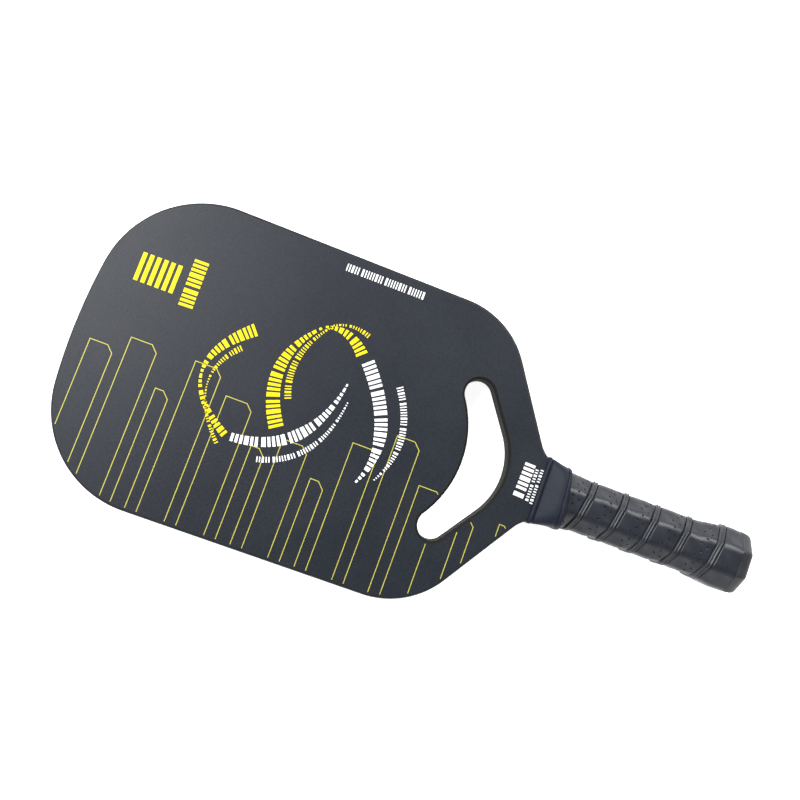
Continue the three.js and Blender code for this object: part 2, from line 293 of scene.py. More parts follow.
def opening_outline(offset):
    """The throat opening, grown outwards by offset."""
    nose_centre = np.array((OPENING_NOSE - OPENING_NOSE_RADIUS, 0.0))
    to_end = OPENING_END - nose_centre
    line_turn = math.acos((OPENING_NOSE_RADIUS - OPENING_END_RADIUS) / np.hypot(*to_end))
    line_angle = math.pi / 2 - (math.atan2(to_end[1], to_end[0]) - line_turn)
    lean = OPENING_END[0] - OPENING_HEAD_SIDE
    reach = lean**2 + OPENING_END[1] ** 2 - OPENING_END_RADIUS**2
    bulge_radius = reach / (2 * (OPENING_END_RADIUS - lean))
    bulge_centre = np.array((OPENING_HEAD_SIDE - bulge_radius, 0.0))
    to_bulge = OPENING_END - bulge_centre
    bulge_angle = math.pi / 2 - math.atan2(to_bulge[1], to_bulge[0])
    side = np.concatenate([
        arc(nose_centre, OPENING_NOSE_RADIUS + offset, math.pi / 2, line_angle, 14),
        arc(OPENING_END, OPENING_END_RADIUS + offset, line_angle, bulge_angle - math.pi, 28),
        arc(bulge_centre, bulge_radius - offset, bulge_angle, math.pi / 2, 16)[1:],
    ])
    return np.concatenate([side, mirrored(side)])


# ---------------------------------------------------------------- meshes


def signed_volume(mesh):
    """Six times the volume that a closed mesh holds, negative if its faces point inwards."""
    mesh.calc_loop_triangles()
    corners = np.array([mesh.vertices[i].co for tri in mesh.loop_triangles for i in tri.vertices])
    a, b, c = corners.reshape(-1, 3, 3).transpose(1, 0, 2)
    return np.einsum("ij,ij->i", a, np.cross(b, c)).sum()


def add_piece(name, points, faces, material, smooth_below=38.0):
    """A mesh of the paddle, from millimetre points, that rides on the paddle's only body."""
    mesh = bpy.data.meshes.new(name)
    mesh.from_pydata(place(points).tolist(), [], faces)
    if signed_volume(mesh) < 0:
        mesh.flip_normals()
    mesh.polygons.foreach_set("use_smooth", [True] * len(mesh.polygons))
    mesh.set_sharp_from_angle(angle=math.radians(smooth_below))
    mesh.materials.append(material)
    piece = bpy.data.objects.new(name, mesh)
    bpy.context.scene.collection.objects.link(piece)
    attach(piece, "root")
    return piece


def band_faces(rings, ring_size, closed_rings=False):
    """Quads between closed rings of points that follow each other in one list."""
    faces = []
    for ring in range(rings if closed_rings else rings - 1):
        low = ring * ring_size
        high = ((ring + 1) % rings) * ring_size
        for side in range(ring_size):
            after = (side + 1) % ring_size
            faces.append((low + side, high + side, high + after, low + after))
    return faces


def end_faces(rings, ring_size):
    """One face over the first ring and one over the last."""
    last = (rings - 1) * ring_size
    return [tuple(range(ring_size)), tuple(last + index for index in reversed(range(ring_size)))]


def slab(outline, holes, bottom, top):
    """The points and faces of a flat closed plate."""
    loops = [np.asarray(loop) for loop in [outline, *holes]]
    flat = np.concatenate(loops)
    count = len(flat)
    triangles = geometry.tessellate_polygon([[Vector((x, y, 0)) for x, y in loop] for loop in loops])
    points = [(x, y, bottom) for x, y in flat] + [(x, y, top) for x, y in flat]
    faces = []
    for a, b, c in triangles:
        (ax, ay), (bx, by), (cx, cy) = flat[a], flat[b], flat[c]
        faces_up = (bx - ax) * (cy - ay) - (by - ay) * (cx - ax) > 0
        upper = (a, b, c) if faces_up else (a, c, b)
        faces.append(tuple(count + index for index in upper))
        faces.append(upper[::-1])
    start = 0
    for order, loop in enumerate(loops):
        x, y = loop[:, 0], loop[:, 1]
        area = np.sum(x * np.roll(y, -1) - y * np.roll(x, -1))
        outwards = (area > 0) == (order == 0)
        for index in range(len(loop)):
            a = start + index
            b = start + (index + 1) % len(loop)
            wall = (a, b, count + b, count + a)
            faces.append(wall if outwards else wall[::-1])
        start += len(loop)
    return points, faces


def rounded_edge(depth):
    """The section of an edge strip: [inset from the wall, z], round at both faces."""
    under_skin = FACE - SKIN
    turn = np.linspace(0, math.pi / 2, ROUNDING_STEPS + 1)
    upper = [
        (EDGE_ROUNDING * (1 - math.sin(angle)), FACE - EDGE_ROUNDING * (1 - math.cos(angle)))
        for angle in turn
    ]
    wall = [(0.0, z) for z in WALL_ROWS]
    lower = [(inset, -z) for inset, z in reversed(upper)]
    shelf = [(EDGE_ROUNDING, under_skin), (depth, under_skin)]
    return [*upper, *wall, *lower, *[(inset, -z) for inset, z in shelf], *reversed(shelf)]


# ---------------------------------------------------------------- material tools

# Places of the Mix node's colour sockets, which share their names with its number sockets
COLOR_A, COLOR_B, COLOR_RESULT = 6, 7, 2


def add_node(tree, kind, inputs=None, **settings):
    """Adds a shader node. Inputs are plain values, or outputs of other nodes to link from."""
    node = tree.nodes.new(kind)
    for key, value in settings.items():
        setattr(node, key, value)
    for socket, value in (inputs or {}).items():
        if isinstance(value, bpy.types.NodeSocket):
            tree.links.new(value, node.inputs[socket])
        else:
            node.inputs[socket].default_value = value
    return node


def start_group(name, inputs, outputs):
    """A shader node group; inputs give each socket's name, kind and first value."""
    group = bpy.data.node_groups.new(name, "ShaderNodeTree")
    for socket, kind, value in inputs:
        made = group.interface.new_socket(socket, in_out="INPUT", socket_type=kind)
        if value is not None:
            made.default_value = value
    for socket, kind in outputs:
        group.interface.new_socket(socket, in_out="OUTPUT", socket_type=kind)
    return group, group.nodes.new("NodeGroupInput").outputs, group.nodes.new("NodeGroupOutput")


def fine_grit_group():
    """Fine grains over slow patches: a colour between two, a height and a roughness."""
    group, given, result = start_group(
        "fine_grit",
        [
            ("Vector", "NodeSocketVector", None),
            ("Grain Scale", "NodeSocketFloat", 1500.0),
            ("Patch Scale", "NodeSocketFloat", 30.0),
            ("Dark", "NodeSocketColor", (0.04, 0.04, 0.05, 1)),
            ("Light", "NodeSocketColor", (0.07, 0.07, 0.08, 1)),
            ("Patchiness", "NodeSocketFloat", 0.3),
            ("Smoothest", "NodeSocketFloat", 0.45),
            ("Roughest", "NodeSocketFloat", 0.6),
        ],
        [("Color", "NodeSocketColor"), ("Height", "NodeSocketFloat"), ("Roughness", "NodeSocketFloat")],
    )
    grains = add_node(
        group, "ShaderNodeTexNoise",
        {"Vector": given["Vector"], "Scale": given["Grain Scale"], "Detail": 3.0, "Roughness": 0.6},
    )
    patches = add_node(
        group, "ShaderNodeTexNoise",
        {"Vector": given["Vector"], "Scale": given["Patch Scale"], "Detail": 4.0, "Roughness": 0.55},
    )
    blend = add_node(
        group, "ShaderNodeMix",
        {"Factor": given["Patchiness"], "A": grains.outputs["Fac"], "B": patches.outputs["Fac"]},
    )
    contrast = add_node(
        group, "ShaderNodeMapRange",
        {"Value": blend.outputs["Result"], "From Min": 0.3, "From Max": 0.7},
    )
    colour = add_node(
        group, "ShaderNodeMix",
        {"Factor": contrast.outputs["Result"], COLOR_A: given["Dark"], COLOR_B: given["Light"]},
        data_type="RGBA",
    )
    rough = add_node(
        group, "ShaderNodeMapRange",
        {
            "Value": patches.outputs["Fac"],
            "From Min": 0.3,
            "From Max": 0.7,
            "To Min": given["Smoothest"],
            "To Max": given["Roughest"],
        },
    )
    group.links.new(colour.outputs[COLOR_RESULT], result.inputs["Color"])
    group.links.new(grains.outputs["Fac"], result.inputs["Height"])
    group.links.new(rough.outputs["Result"], result.inputs["Roughness"])
    return group


def drawn_lines_group():
    """Fine lines drawn out along one direction, as in stretched rubber, spun tape or wire."""
    group, given, result = start_group(
        "drawn_lines",
        [
            ("Vector", "NodeSocketVector", None),
            ("Stretch", "NodeSocketVector", (1200.0, 90.0, 90.0)),
            ("Color", "NodeSocketColor", (0.03, 0.03, 0.04, 1)),
            ("Line Color", "NodeSocketColor", (0.05, 0.05, 0.06, 1)),
            ("Amount", "NodeSocketFloat", 0.5),
        ],
        [("Color", "NodeSocketColor"), ("Height", "NodeSocketFloat")],
    )
    stretched = add_node(
        group, "ShaderNodeVectorMath", {0: given["Vector"], 1: given["Stretch"]}, operation="MULTIPLY",
    )
    lines = add_node(
        group, "ShaderNodeTexNoise",
        {"Vector": stretched.outputs["Vector"], "Scale": 1.0, "Detail": 4.0, "Roughness": 0.65},
    )
    mask = add_node(
        group, "ShaderNodeMapRange",
        {"Value": lines.outputs["Fac"], "From Min": 0.42, "From Max": 0.72, "To Max": given["Amount"]},
    )
    colour = add_node(
        group, "ShaderNodeMix",
        {"Factor": mask.outputs["Result"], COLOR_A: given["Color"], COLOR_B: given["Line Color"]},
        data_type="RGBA",
    )
    group.links.new(colour.outputs[COLOR_RESULT], result.inputs["Color"])
    group.links.new(lines.outputs["Fac"], result.inputs["Height"])
    return group


FINE_GRIT = fine_grit_group()
DRAWN_LINES = drawn_lines_group()


def rgba(colour):
    """The colour with full opacity."""
    return (*colour, 1.0)


def start_material(name, roughness, specular=0.5, metallic=0.0):
    """A material with its tree, its shader and the object coordinates that its pattern follows."""
    material = bpy.data.materials.new(name)
    material.use_nodes = True
    tree = material.node_tree
    shader = tree.nodes["Principled BSDF"]
    shader.inputs["Roughness"].default_value = roughness
    shader.inputs["Specular IOR Level"].default_value = specular
    shader.inputs["Metallic"].default_value = metallic
    where = add_node(tree, "ShaderNodeTexCoord").outputs["Object"]
    return material, tree, shader, where


def raise_surface(tree, shader, height, strength, distance):
    """Bumps on the shader's surface, distance in metres at their highest."""
    bump = add_node(
        tree, "ShaderNodeBump", {"Height": height, "Strength": strength, "Distance": distance},
    )
    tree.links.new(bump.outputs["Normal"], shader.inputs["Normal"])


def gritty(name, dark, light, grain, patches, patchiness, rough, bump, specular=0.5):
    """A matt or satin moulded, painted or printed finish. rough is its smoothest and roughest."""
    material, tree, shader, where = start_material(name, rough[0], specular)
    grit = add_node(tree, "ShaderNodeGroup", node_tree=FINE_GRIT, inputs={
        "Vector": where,
        "Grain Scale": grain,
        "Patch Scale": patches,
        "Dark": rgba(dark),
        "Light": rgba(light),
        "Patchiness": patchiness,
        "Smoothest": rough[0],
        "Roughest": rough[1],
    })
    tree.links.new(grit.outputs["Color"], shader.inputs["Base Color"])
    tree.links.new(grit.outputs["Roughness"], shader.inputs["Roughness"])
    raise_surface(tree, shader, grit.outputs["Height"], *bump)
    return material


def drawn(name, colour, line_colour, stretch, amount, roughness, bump, specular=0.5, metallic=0.0):
    """A finish with fine lines in one direction."""
    material, tree, shader, where = start_material(name, roughness, specular, metallic)
    lines = add_node(tree, "ShaderNodeGroup", node_tree=DRAWN_LINES, inputs={
        "Vector": where,
        "Stretch": stretch,
        "Color": rgba(colour),
        "Line Color": rgba(line_colour),
        "Amount": amount,
    })
    tree.links.new(lines.outputs["Color"], shader.inputs["Base Color"])
    raise_surface(tree, shader, lines.outputs["Height"], *bump)
    return material


# ---------------------------------------------------------------- finishes

face_finish = gritty(
    "matt_grit_face", (0.005, 0.007, 0.012), (0.015, 0.019, 0.027), 1250.0, 26.0, 0.22,
    (0.41, 0.47), (0.4, 0.0001), specular=0.3,
)
edge_finish = gritty(
    "edge_paint", (0.009, 0.010, 0.012), (0.020, 0.022, 0.025), 900.0, 120.0, 0.5,
    (0.38, 0.52), (0.35, 0.00012), specular=0.2,
)
throat_finish = gritty(
    "throat_paint", (0.010, 0.010, 0.010), (0.020, 0.020, 0.018), 900.0, 120.0, 0.5,
    (0.5, 0.65), (0.35, 0.00012), specular=0.03,
)
grip_finish = drawn(
    "grip_rubber", (0.010, 0.012, 0.019), (0.020, 0.023, 0.032), (900.0, 120.0, 120.0), 0.5,
    0.38, (0.15, 0.0001),
)
# Painted shade: near black, for the floors of the perforations and the grooves beside the ribs
painted_shade_finish = gritty(
    "painted_hollow_shade", (0.003, 0.003, 0.004), (0.008, 0.008, 0.009), 900.0, 200.0, 0.5,
    (0.8, 0.9), (0.2, 0.0001),
)
band_finish = drawn(
    "band_rubber", (0.009, 0.012, 0.021), (0.015, 0.019, 0.029), (160.0, 700.0, 160.0), 0.6,
    0.52, (0.25, 0.0001), specular=0.17,
)
cap_finish = gritty(
    "moulded_cap", (0.010, 0.011, 0.014), (0.018, 0.020, 0.024), 1100.0, 80.0, 0.4,
    (0.42, 0.55), (0.3, 0.0001),
)
yellow_ink = gritty(
    "yellow_ink", (0.70, 0.57, 0.001), (0.80, 0.66, 0.004), 2600.0, 90.0, 0.4,
    (0.42, 0.55), (0.2, 0.00004), specular=0.2,
)
pale_yellow_ink = gritty(
    "pale_yellow_ink", (0.38, 0.35, 0.040), (0.52, 0.48, 0.060), 2600.0, 90.0, 0.5,
    (0.45, 0.6), (0.2, 0.00004),
)
white_ink = gritty(
    "white_ink", (0.80, 0.81, 0.82), (0.93, 0.93, 0.94), 2600.0, 90.0, 0.4,
    (0.42, 0.55), (0.2, 0.00004),
)


# ---------------------------------------------------------------- blade


def add_skin(name, node, bottom, top):
    """One matt face sheet, from just inside the edge's rounding to the end of the tongue."""
    inset = EDGE_ROUNDING
    points, faces = slab(blade_outline(inset), [opening_outline(inset)], bottom, top)
    skin = add_piece(name, points, faces, face_finish)
    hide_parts(node)


def swept(paths, heights):
    """Points of rings that follow a section: one path for each of its points."""
    rows = [np.column_stack([path, np.full(len(path), z)]) for path, z in zip(paths, heights)]
    return np.stack(rows, axis=1)


def add_head_rim():
    """The painted foam strip round the head, open at the neck."""
    section = rounded_edge(FOAM_DEPTH)
    rings = swept([rim_path(inset) for inset, z in section], [z for inset, z in section])
    faces = band_faces(len(rings), len(section)) + end_faces(len(rings), len(section))
    rim = add_piece("head_rim", rings.reshape(-1, 3), faces, edge_finish)
    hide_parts("edge_foam")


def add_throat_rim():
    """The painted lining of the throat opening."""
    section = rounded_edge(LINER_DEPTH)
    rings = swept([opening_outline(offset) for offset, z in section], [z for offset, z in section])
    faces = band_faces(len(rings), len(section), closed_rings=True)
    rim = add_piece("throat_rim", rings.reshape(-1, 3), faces, throat_finish)
    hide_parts("throat_liner")


# ---------------------------------------------------------------- handle


def octagon_ring(half_width, corner, fractions):
    """Points and outward normals, as [across, up], at fractions of a round-cornered octagon.

    The fractions start at the middle of the +Y flat and go round by way of +Z.
    """
    turn = 2 * math.pi / FLATS
    flat = 2 * (half_width - corner) * math.tan(turn / 2)
    bend = corner * turn
    walked = np.asarray(fractions) % 1.0 * FLATS * (flat + bend) + flat / 2
    side = np.floor(walked / (flat + bend))
    rest = walked - side * (flat + bend)
    bent = np.clip((rest - flat) / corner, 0, None)
    angle = side * turn + bent
    normal = np.stack([np.cos(angle), np.sin(angle)], axis=-1)
    facing = np.stack([np.cos(side * turn), np.sin(side * turn)], axis=-1)
    along = np.stack([-facing[:, 1], facing[:, 0]], axis=-1)
    on_flat = (half_width - corner) * facing + (np.minimum(rest, flat) - flat / 2)[:, None] * along
    return on_flat + corner * normal, normal


def station_ring(ring, x, half_width, half_height):
    """The waist's ring, scaled to one station's size and put at its x."""
    scale = (half_width / GRIP_WAIST, half_height / GRIP_WAIST)
    return np.column_stack([np.full(len(ring), x), ring * scale])


def eased(x, column):
    """A column of the grip's stations at x, with the corners between stretches taken off."""
    xs = [station[0] for station in GRIP_STATIONS]
    values = [station[column] for station in GRIP_STATIONS]
    return np.mean([np.interp(x + shift, xs, values) for shift in EASING], axis=0)


def tape_rows():
    """Distances of the mesh's rows from a rib, over one turn of tape."""
    rows = [distance for distance, height in RIB_SECTION]
    rows += [distance for row in HOLE_ROWS for distance in row + AROUND_HOLE]
    rows += PLAIN_ROWS
    return np.sort(np.array(rows) % TAPE_PITCH)


def tape_columns():
    """Fractions of a turn for the mesh's columns, close together at the perforations."""
    spacing = 1.0 / HOLES_PER_TURN
    offsets = [offset for row in range(len(HOLE_ROWS)) for offset in row * HOLE_ROW_STEP + AROUND_HOLE]
    offsets += PLAIN_COLUMNS
    offsets = np.sort(np.array(offsets) / turn_length() % spacing)
    return np.sort(np.concatenate([turn * spacing + offsets for turn in range(HOLES_PER_TURN)]))


def turn_length():
    """The length of tape in one turn at the waist."""
    straight = 2 * (GRIP_WAIST - GRIP_CORNER) * math.tan(math.pi / FLATS)
    return FLATS * straight + GRIP_CORNER * 2 * math.pi


def hole_depth(distance, fraction, along):
    """How deep the perforations are, and nothing on the smooth tape beyond the last rib."""
    spacing = turn_length() / HOLES_PER_TURN
    depth = np.zeros_like(distance)
    for row, middle in enumerate(HOLE_ROWS):
        shift = (len(HOLE_ROWS) - 1 - row) * HOLE_ROW_STEP
        phase = (fraction * turn_length() - shift) / spacing
        across = (phase - np.round(phase)) * spacing
        radius = np.hypot(distance - middle, across)
        depth = np.maximum(depth, HOLE_DEPTH * np.clip((HOLE_RADIUS - radius) / HOLE_WALL, 0, 1))
    return np.where(along < LAST_RIB, depth, 0.0)


def tape_height(x, fraction):
    """Height of the wound tape above its smooth surface, and how deep its hollows are, which sets where
    the grip gets painted shade.
    """
    along = x + TAPE_PITCH * fraction
    distance = (along - RIB_AT) % TAPE_PITCH
    from_rib = np.where(distance > TAPE_PITCH / 2, distance - TAPE_PITCH, distance)
    sections, heights = zip(*RIB_SECTION)
    rib = np.interp(from_rib, sections, heights)
    crown = TAPE_CROWN * np.sin(math.pi * np.clip(distance / TAPE_PITCH, 0, 1)) ** 2
    around = 2 * math.pi * fraction
    hand_wound = sum(rise * np.sin(x / length + turns * around) for rise, length, turns in RIPPLES)
    fade = np.clip(LAST_RIB_END - along, 0, 1)
    depth = hole_depth(distance, fraction % 1.0, along)
    # Depth that decides where painted shade goes: the perforations and the grooves beside each rib
    painted_shade_depth = depth + np.clip(-fade * rib, 0, None)
    return fade * (rib + crown) + hand_wound - depth, painted_shade_depth


def add_grip():
    """One long tape wound from the butt to the neck, with a double rib along its lap."""
    fractions = tape_columns()
    per_turn = tape_rows()
    along = np.concatenate([RIB_AT + turn * TAPE_PITCH + per_turn for turn in TAPE_TURNS])
    rows, columns, row_shift = len(along), len(fractions), len(per_turn)
    ring, normal = octagon_ring(GRIP_WAIST, GRIP_CORNER, fractions)

    # Points of the slanted rows that lie past an end of the grip all move to that end's ring.
    x = along[:, None] - TAPE_PITCH * fractions[None, :]
    before = x <= GRIP_START + END_CLEARANCE
    kept = ~before & (x < GRIP_END - END_CLEARANCE)
    count = int(kept.sum())
    start_ring = count + np.arange(columns)
    end_ring = start_ring + columns
    index = np.where(before, start_ring[None, :], end_ring[None, :])
    index[kept] = np.arange(count)

    every_column = np.arange(columns)
    column_of = np.concatenate([np.nonzero(kept)[1], every_column, every_column])
    xs = np.concatenate([x[kept], np.full(columns, GRIP_START), np.full(columns, GRIP_END)])
    height, painted_shade_depth = tape_height(xs, fractions[column_of])
    size = np.column_stack([eased(xs, 1), eased(xs, 2)]) / GRIP_WAIST
    outer = ring[column_of] * size + normal[column_of] * height[:, None]
    lining = [
        station_ring(ring, station_x, half_width - GRIP_THICKNESS, half_height - GRIP_THICKNESS)
        for station_x, half_width, half_height in GRIP_STATIONS
    ]
    inner_rings = [len(xs) + order * columns + every_column for order in range(len(lining))]
    points = np.concatenate([np.column_stack([xs, outer]), *lining])

    faces = []
    painted_shade_faces = []
    for row in range(rows - 1):
        for column in range(columns):
            if column < columns - 1:
                after = (index[row, column + 1], index[row + 1, column + 1])
            else:
                if row < row_shift:
                    continue
                after = (index[row - row_shift, 0], index[row + 1 - row_shift, 0])
            corners = [index[row, column], index[row + 1, column], after[1], after[0]]
            face = list(dict.fromkeys(int(corner) for corner in corners))
            if len(face) > 2 and not all(corner >= count for corner in face):
                faces.append(face)
                # Faces deep in a perforation or a rib's groove get the painted shade
                painted_shade_faces.append(sum(painted_shade_depth[corner] for corner in face) > PAINTED_SHADE_DEPTH * len(face))
    loops = [start_ring, *inner_rings, end_ring]
    for column in range(columns):
        after = (column + 1) % columns
        for high, low in zip(loops[:-1], loops[1:]):
            faces.append([int(low[column]), int(high[column]), int(high[after]), int(low[after])])
            painted_shade_faces.append(False)

    grip = add_piece("wound_grip", points, faces, grip_finish, smooth_below=60.0)
    # The second material paints near-black shade on the faces in the hollows
    grip.data.materials.append(painted_shade_finish)
    grip.data.polygons.foreach_set("material_index", [int(in_painted_shade) for in_painted_shade in painted_shade_faces])
    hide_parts("grip_tape")


def squared_ring(half_width, half_height, squareness, count):
    """A superellipse as [across, up] points: squareness 2 is an ellipse, more is squarer."""
    angle = np.linspace(0, 2 * math.pi, count, endpoint=False)
    y, z = np.cos(angle), np.sin(angle)
    reach = (np.abs(y) ** squareness + np.abs(z) ** squareness) ** (-1 / squareness)
    return np.column_stack([y * reach * half_width, z * reach * half_height])


def add_neck_band():
    """The stretched band over the joint: a rolled lip at each end, slanted at the handle."""
    first, last = BAND_STATIONS[0][0], BAND_STATIONS[-1][0]
    rings = []
    for step in (1, -1):
        for x, half_width, half_height, squareness in BAND_STATIONS[::step]:
            inset = 0.0 if step == 1 else BAND_THICKNESS
            ring = squared_ring(half_width - inset, half_height - inset, squareness, BAND_COLUMNS)
            share = np.clip((x - first) / (last - first), 0, 1) ** 2
            lean = -BAND_SLANT * share * ring[:, 0] / half_width
            rings.append(np.column_stack([x + lean, ring]))
    faces = band_faces(len(rings), BAND_COLUMNS, closed_rings=True)
    band = add_piece("throat_band", np.concatenate(rings), faces, band_finish, smooth_below=50.0)
    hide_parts("neck_band")


def add_butt_cap():
    """The flared end: its pocket takes the handle, and its flange closes the grip."""
    ring = octagon_ring(GRIP_WAIST, CAP_CORNER, np.linspace(0, 1, CAP_COLUMNS, endpoint=False))[0]
    rings = [station_ring(ring, *station) for station in CAP_STATIONS]
    faces = band_faces(len(rings), CAP_COLUMNS) + end_faces(len(rings), CAP_COLUMNS)
    cap = add_piece("butt_end", np.concatenate(rings), faces, cap_finish, smooth_below=30.0)
    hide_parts("butt_cap")


add_skin("front_skin", "front_face_sheet", FACE - SKIN, FACE)
add_skin("back_skin", "back_face_sheet", -FACE, SKIN - FACE)
add_head_rim()
add_throat_rim()
add_grip()
add_neck_band()
add_butt_cap()


# ---------------------------------------------------------------- printing

INK_UNDER = FACE - 0.02
LINE_TOP = FACE + 0.02
INK_TOP = FACE + 0.04
PRINT_MARGIN = 0.9
LINE_WIDTH = 0.5

# Outlined bars: [left, right, top]. Each rises from the head's lower edge, which leaves it open
# there, and they all have the same small chamfer.
BEYOND = -110.0
BAR_CHAMFER = 4.0
OUTLINED_BARS = [
    (12.0, 27.0, -8.0),
    (34.0, 51.0, 1.0),
    (58.0, 67.0, -22.0),
    (74.0, 91.0, 1.0),
    (98.0, 115.0, -12.0),
    (122.0, 131.0, -34.0),
    (138.0, 154.0, -24.0),
    (161.0, 170.0, -40.0),
    (177.0, 193.0, -12.0),
    (200.0, 215.0, 1.0),
    (222.0, 237.0, -22.0),
    (252.0, 260.0, -30.0),
    (274.0, 281.0, -27.0),
]

# Bars of a printed ribbon, all as tall as it is wide: [length along it, gap after it]
BOLD_BARS = [
    (1.7, 1.0), (1.7, 1.0), (1.7, 1.0), (2.6, 1.0), (1.7, 1.0), (1.7, 2.0),
    (2.6, 1.0), (1.7, 1.0), (1.7, 1.0), (1.7, 1.0), (2.6, 2.0),
]
FINE_BARS = [
    (0.7, 0.9), (0.7, 0.9), (1.3, 0.9), (0.7, 0.9), (0.7, 1.8), (1.3, 0.9), (0.7, 0.9), (0.7, 0.9),
]
RIBBON_STEPS = 200

# Printed ribbons: [start, middle, end, the three widths there, bars]
YELLOW_RIBBONS = [
    ((100.1, 30.5), (79.6, -4.3), (107.3, -34.5), (7.8, 1.4, 4.6), BOLD_BARS),
    ((96.2, 17.5), (85.2, -10.0), (103.0, -40.0), (3.6, 0.7, 2.4), FINE_BARS),
    ((131.8, -19.0), (121.2, 15.0), (137.0, 46.0), (8.8, 7.0, 1.2), BOLD_BARS),
    ((138.0, 46.6), (152.5, 46.6), (165.5, 36.5), (1.2, 4.8, 7.6), BOLD_BARS),
    ((132.2, -1.0), (129.3, 24.0), (142.0, 48.5), (4.0, 3.6, 0.9), FINE_BARS),
    ((142.0, 49.0), (153.5, 52.2), (165.5, 49.5), (0.9, 1.8, 3.2), FINE_BARS),
]
WHITE_RIBBONS = [
    ((109.0, -33.3), (145.5, -18.5), (162.2, 21.0), (4.8, 6.8, 0.7), BOLD_BARS),
    ((127.6, -40.4), (154.6, -23.3), (166.0, 10.8), (3.4, 3.0, 0.7), FINE_BARS),
    ((168.6, 35.6), (190.3, -2.0), (185.0, -35.4), (7.8, 7.6, 0.6), BOLD_BARS),
    ((191.4, 28.2), (202.8, -1.0), (195.6, -28.8), (4.0, 3.8, 0.8), FINE_BARS),
    ((137.0, 84.8), (162.0, 84.7), (187.3, 84.5), (4.6, 4.6, 4.6), FINE_BARS),
    ((279.6, 12.6), (279.2, 1.5), (278.6, -9.6), (6.4, 6.4, 6.4), BOLD_BARS),
    ((284.4, 10.8), (284.4, 0.5), (284.4, -10.0), (1.9, 1.9, 1.9), FINE_BARS),
    ((287.3, 11.6), (287.3, 0.5), (287.3, -10.6), (1.9, 1.9, 1.9), FINE_BARS),
]
MARK_ROW = ((56.0, 57.5), (56.2, 42.5), (56.6, 27.3), (8.8, 8.8, 8.8), BOLD_BARS)

# The mark: a block of upright bars
MARK_LOW = (22.0, 33.2)
MARK_HIGH = (46.6, 50.8)
MARK_BARS = 6
MARK_FILL = 0.6


def joined(parts):
    """Several lists of points and faces as one."""
    points, faces = [], []
    for part_points, part_faces in parts:
        start = len(points)
        points += list(part_points)
        faces += [tuple(start + index for index in face) for face in part_faces]
    return points, faces


def encloses(loop, point):
    """Whether the point lies inside the closed loop."""
    ahead = np.roll(loop, -1, axis=0)
    straddles = (loop[:, 1] > point[1]) != (ahead[:, 1] > point[1])
    rise = np.where(straddles, ahead[:, 1] - loop[:, 1], 1.0)
    crossing = loop[:, 0] + (ahead[:, 0] - loop[:, 0]) * (point[1] - loop[:, 1]) / rise
    return np.count_nonzero(straddles & (point[0] < crossing)) % 2 == 1


def crossings(start, end, loop):
    """Shares of the way from start to end at which the line crosses the loop."""
    ahead = np.roll(loop, -1, axis=0) - loop
    line = end - start
    scale = line[0] * ahead[:, 1] - line[1] * ahead[:, 0]
    scale = np.where(np.abs(scale) < 1e-9, 1e-9, scale)
    gap = loop - start
    share = (gap[:, 0] * ahead[:, 1] - gap[:, 1] * ahead[:, 0]) / scale
    on_edge = (gap[:, 0] * line[1] - gap[:, 1] * line[0]) / scale
    return share[(share > 0) & (share < 1) & (on_edge >= 0) & (on_edge < 1)]


def printable_runs(corners):
    """The stretches of a closed outline that lie on the flat of the face."""
    border = blade_outline(EDGE_ROUNDING + PRINT_MARGIN)
    hole = opening_outline(EDGE_ROUNDING + PRINT_MARGIN)
    corners = np.asarray(corners, float)
    runs = []
    for start, end in zip(corners, np.roll(corners, -1, axis=0)):
        cuts = np.concatenate([[0.0], crossings(start, end, border), crossings(start, end, hole), [1.0]])
        cuts.sort()
        for low, high in zip(cuts[:-1], cuts[1:]):
            middle = start + (end - start) * (low + high) / 2
            if not encloses(border, middle) or encloses(hole, middle):
                continue
            first, last = start + (end - start) * low, start + (end - start) * high
            if runs and np.allclose(runs[-1][-1], first):
                runs[-1].append(last)
            else:
                runs.append([first, last])
    if len(runs) > 1 and np.allclose(runs[-1][-1], runs[0][0]):
        runs[0] = runs.pop() + runs[0][1:]
    return [np.array(run) for run in runs]


def beside(run, shift, closed):
    """The run moved sideways, with mitred corners."""
    steps = np.diff(np.vstack([run, run[:1]]) if closed else run, axis=0)
    steps /= np.linalg.norm(steps, axis=1)[:, None]
    normals = np.column_stack([-steps[:, 1], steps[:, 0]])
    before = np.roll(normals, 1, axis=0) if closed else np.vstack([normals[:1], normals])
    after = normals if closed else np.vstack([normals, normals[-1:]])
    mitre = (before + after) / (1 + np.sum(before * after, axis=1))[:, None]
    return run + mitre * shift


def line_slab(run):
    """A printed line of even width along a run."""
    closed = np.allclose(run[0], run[-1])
    run = run[:-1] if closed else run
    left = beside(run, LINE_WIDTH / 2, closed)
    right = beside(run, -LINE_WIDTH / 2, closed)
    if not closed:
        return slab(np.concatenate([left, right[::-1]]), [], INK_UNDER, LINE_TOP)
    outer, inner = sorted((left, right), key=lambda loop: -np.ptp(loop[:, 0]))
    return slab(outer, [inner], INK_UNDER, LINE_TOP)


def bar_corners(left, right, top):
    """The outline of one bar, from beyond the head's edge and back."""
    return [
        (left, BEYOND),
        (left, top),
        (right - BAR_CHAMFER, top),
        (right, top - BAR_CHAMFER),
        (right, BEYOND),
    ]


